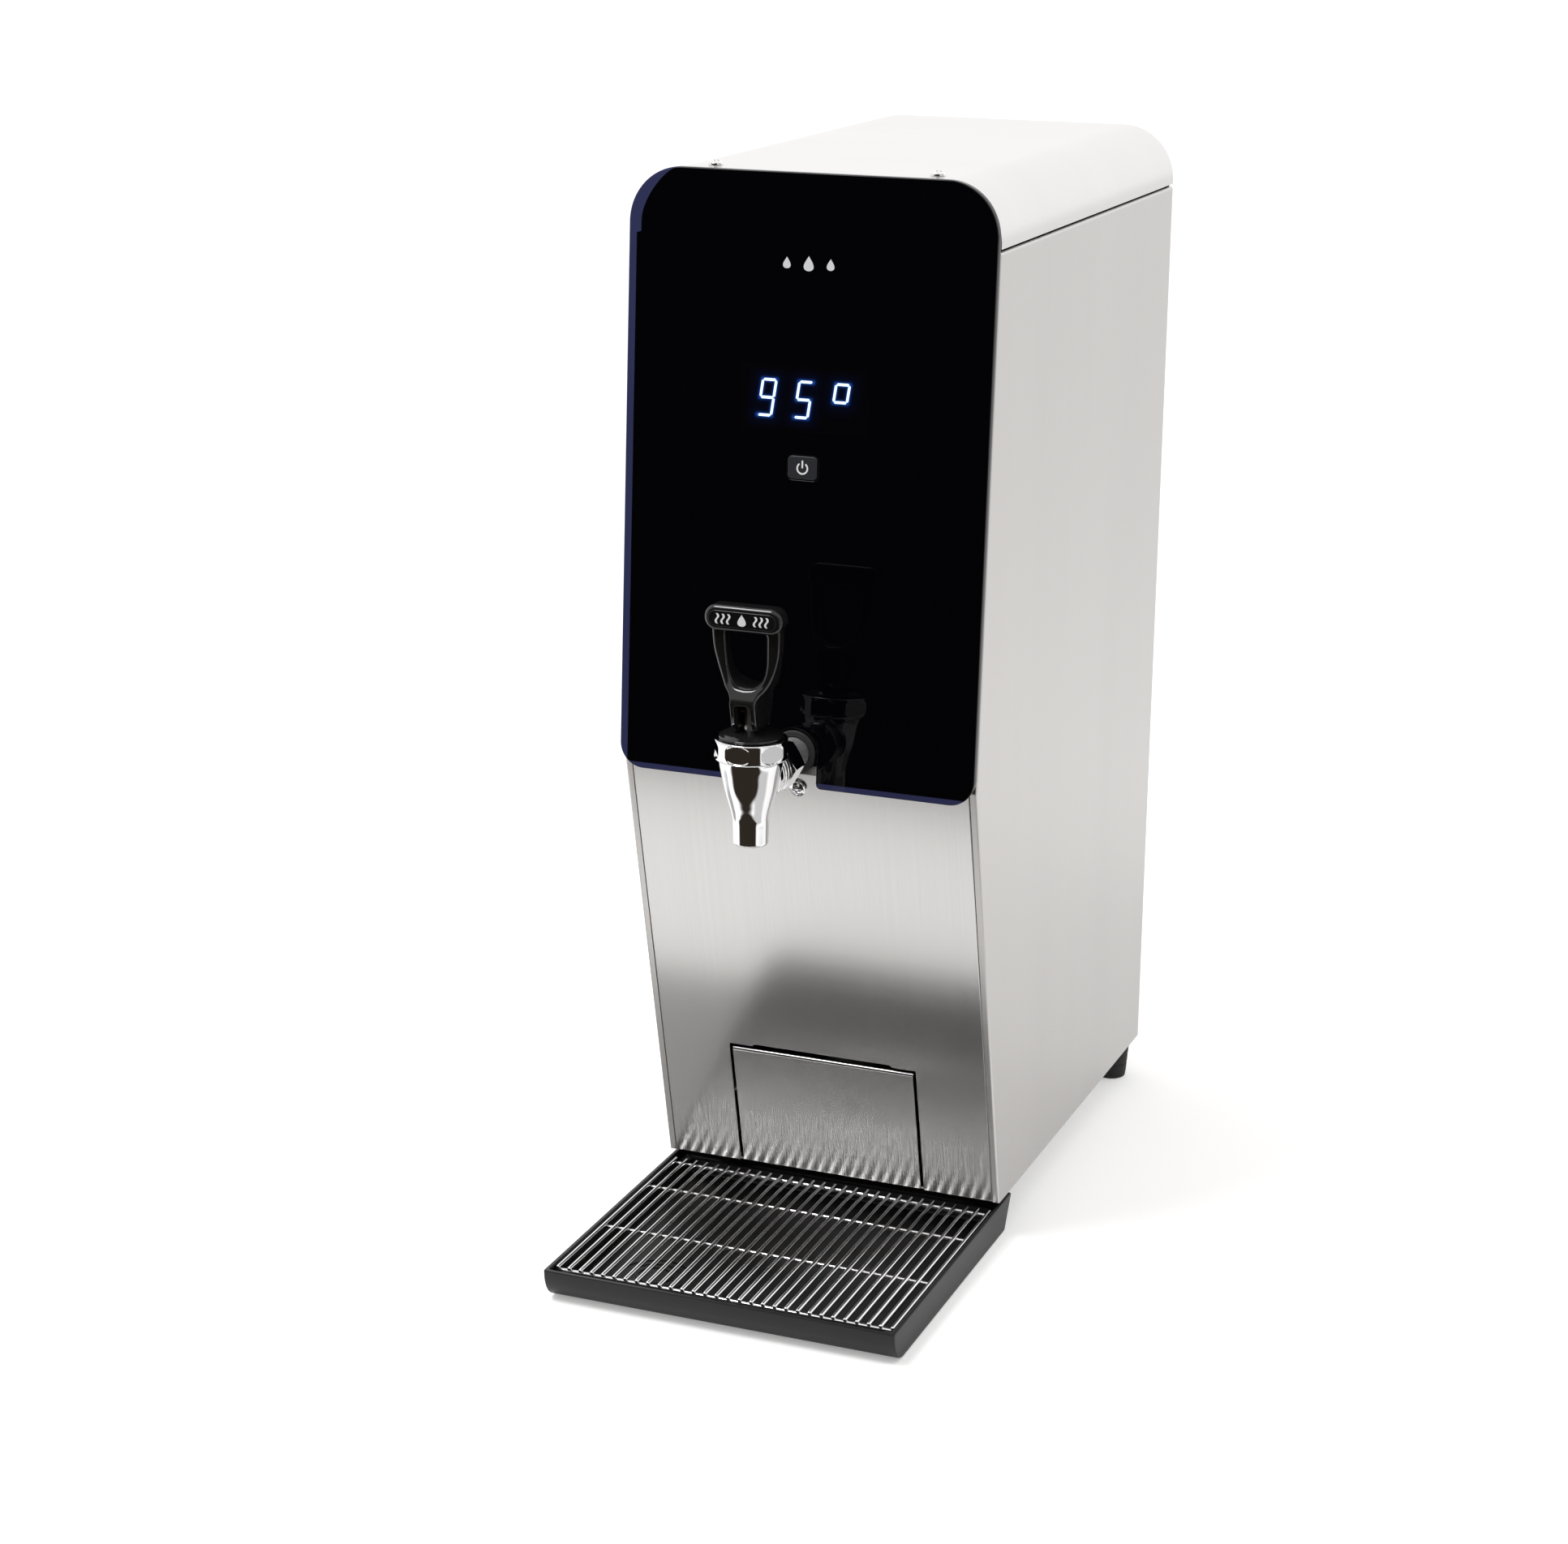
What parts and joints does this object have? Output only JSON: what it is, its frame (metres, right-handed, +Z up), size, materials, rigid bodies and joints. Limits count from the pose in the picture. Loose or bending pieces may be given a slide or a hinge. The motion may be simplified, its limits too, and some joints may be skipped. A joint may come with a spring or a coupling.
{
  "type": "countertop hot water dispenser",
  "caption": "Narrow steel countertop boiler with a black glass front, lever tap, temperature display and a pull-out drip tray.",
  "frame": {"origin": "middle of the bounding box at the level of the surface it stands on", "axes": "+Z up, +Y towards the back of the machine, +X to the right seen from the front; the tap faces -Y"},
  "size_m": [0.21, 0.4858, 0.6192],
  "materials": {
    "brushed_steel": "fine vertical brushing, satin",
    "chrome": "polished plate",
    "steel_dark": "turned, bare",
    "glass_black": "back-painted gloss panel",
    "plastic_black": "moulded, satin gloss",
    "tray_black": "moulded, matt",
    "rubber_black": "moulded rubber",
    "button_grey": "moulded, matt",
    "label_black": "printed plate",
    "display": "light-emitting segments behind the panel",
    "silicone": "translucent silicone",
    "insulation": "closed-cell foam",
    "board_green": "solder mask",
    "brass": "machined",
    "valve_white": "moulded"
  },
  "bodies": {
    "cabinet": {"left_side_panel": "brushed_steel", "right_side_panel": "brushed_steel", "top_cover": "brushed_steel", "rear_panel": "brushed_steel", "base_plate": "brushed_steel", "lower_front_panel": "brushed_steel", "tank_shelf": "steel_dark", "front_chassis_plate": "plastic_black", "front_fascia": "glass_black", "top_cover_screw_left": "chrome", "top_cover_screw_right": "chrome", "lower_panel_screw": "chrome", "display_module": "display", "control_board": "board_green", "button_spring": "chrome", "tap_body": "chrome", "tap_collar": "chrome", "tap_bonnet": "plastic_black", "tap_coupling_nut": "chrome", "tap_shank": "steel_dark", "tap_gasket": "rubber_black", "tap_locknut": "brass", "tap_spring": "chrome", "boiler_tank": "brushed_steel", "boiler_gasket": "silicone", "boiler_lid": "brushed_steel", "heating_element": "steel_dark", "temperature_sensor": "steel_dark", "level_probe": "steel_dark", "thermal_cutout": "plastic_black", "tank_insulation": "insulation", "water_inlet_fitting": "brass", "inlet_valve": "valve_white", "valve_coil": "plastic_black", "inlet_pipe": "silicone", "overflow_pipe": "silicone", "outlet_hose": "silicone", "drain_hose": "silicone", "drain_plug": "plastic_black", "power_board": "board_green", "power_relay": "plastic_black", "wiring_loom": "plastic_black", "mains_gland": "plastic_black", "foot_front_left": "rubber_black", "foot_front_right": "rubber_black", "foot_rear_left": "rubber_black", "foot_rear_right": "rubber_black"},
    "power_button": {"power_button": "button_grey"},
    "tap_stem": {"tap_stem": "steel_dark", "tap_seat_cup": "silicone", "tap_handle_pin": "chrome"},
    "tap_handle": {"tap_handle": "plastic_black", "tap_label_plate": "label_black"},
    "drip_tray": {"drip_tray": "tray_black"},
    "drip_grille": {"drip_grille": "chrome"},
    "access_panel": {"access_panel": "brushed_steel"}
  },
  "joints": [
    {"name": "tap_lever", "type": "hinge", "parent": "tap_stem", "child": "tap_handle", "pos_m": [0, -0.19335, 0.343], "axis": [1, 0, 0], "range_deg": [0, 30]},
    {"name": "tap_stem_lift", "type": "slide", "parent": "cabinet", "child": "tap_stem", "axis": [0, 0, 1], "range_m": [0, 0.0048], "stiffness_N_per_m": 1200, "springref_m": -0.006, "deforming": ["tap_spring"]},
    {"name": "power_button_press", "type": "slide", "parent": "cabinet", "child": "power_button", "axis": [0, 0.998, -0.0639], "range_m": [0, 0.0007], "stiffness_N_per_m": 300, "springref_m": -0.001, "deforming": ["button_spring"]},
    {"name": "drip_tray_pull", "type": "slide", "parent": "cabinet", "child": "drip_tray", "axis": [0, -1, 0], "range_m": [0, 0.15]},
    {"name": "drip_grille_lift", "type": "slide", "parent": "drip_tray", "child": "drip_grille", "axis": [0, -0.2588, 0.9659], "range_m": [0, 0.05]},
    {"name": "access_panel_drop", "type": "hinge", "parent": "cabinet", "child": "access_panel", "pos_m": [0, -0.06581, 0.0246], "axis": [1, 0, 0], "range_deg": [0, 60]}
  ],
  "couplings": [
    {"joint": "tap_stem_lift", "follows": "tap_lever", "m_per_rad": 0.009}
  ]
}
